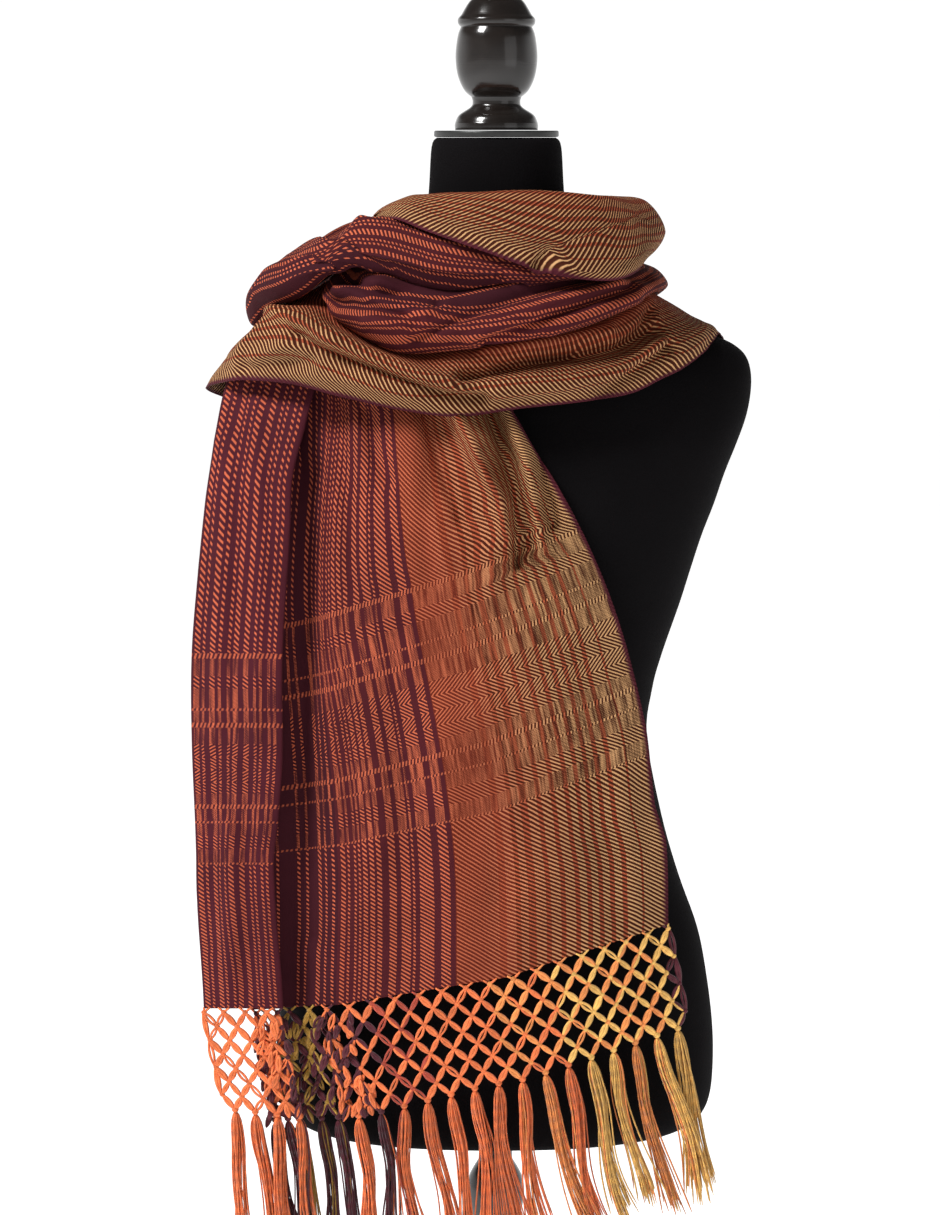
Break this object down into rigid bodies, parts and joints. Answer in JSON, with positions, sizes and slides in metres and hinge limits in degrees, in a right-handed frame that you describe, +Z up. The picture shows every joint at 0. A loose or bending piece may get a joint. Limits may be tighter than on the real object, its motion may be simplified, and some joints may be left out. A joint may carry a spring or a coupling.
{
  "type": "rebozo shawl on a limbless dress form with a turned stand",
  "caption": "Long woven shawl with a knotted net and tassel fringe, wound round the neck and shoulders of a limbless dress form on a turned stand.",
  "frame": {"origin": "centre of the stand's base, at the table", "axes": "+Z up the stand, -Y towards the viewer of the shawl's front, +X to the viewer's right"},
  "size_m": [0.4126, 0.3, 1.2259],
  "materials": {
    "gloss_black_wood": "gloss black lacquer",
    "black_metal": "satin black",
    "velvet": "black velvet",
    "tan_twill_cloth": "tan and dark brown twill with fine red stripes",
    "maroon_stripe_cloth": "maroon cloth with orange dashed stripes",
    "orange_yarn": "soft twisted orange yarn"
  },
  "bodies": {
    "root": {"form_base": "gloss_black_wood", "form_column": "gloss_black_wood", "form_finial": "gloss_black_wood", "form_plate": "black_metal", "form_torso": "velvet", "shawl_tail": "tan_twill_cloth", "shawl_shoulder_front": "tan_twill_cloth", "shawl_shoulder_back": "tan_twill_cloth", "shawl_rising_front": "maroon_stripe_cloth", "shawl_rising_back": "maroon_stripe_cloth", "shawl_upper_front": "maroon_stripe_cloth", "shawl_upper_back": "maroon_stripe_cloth", "shawl_collar": "tan_twill_cloth", "shawl_net": "orange_yarn", "shawl_tassels": "orange_yarn"}
  },
  "joints": []
}
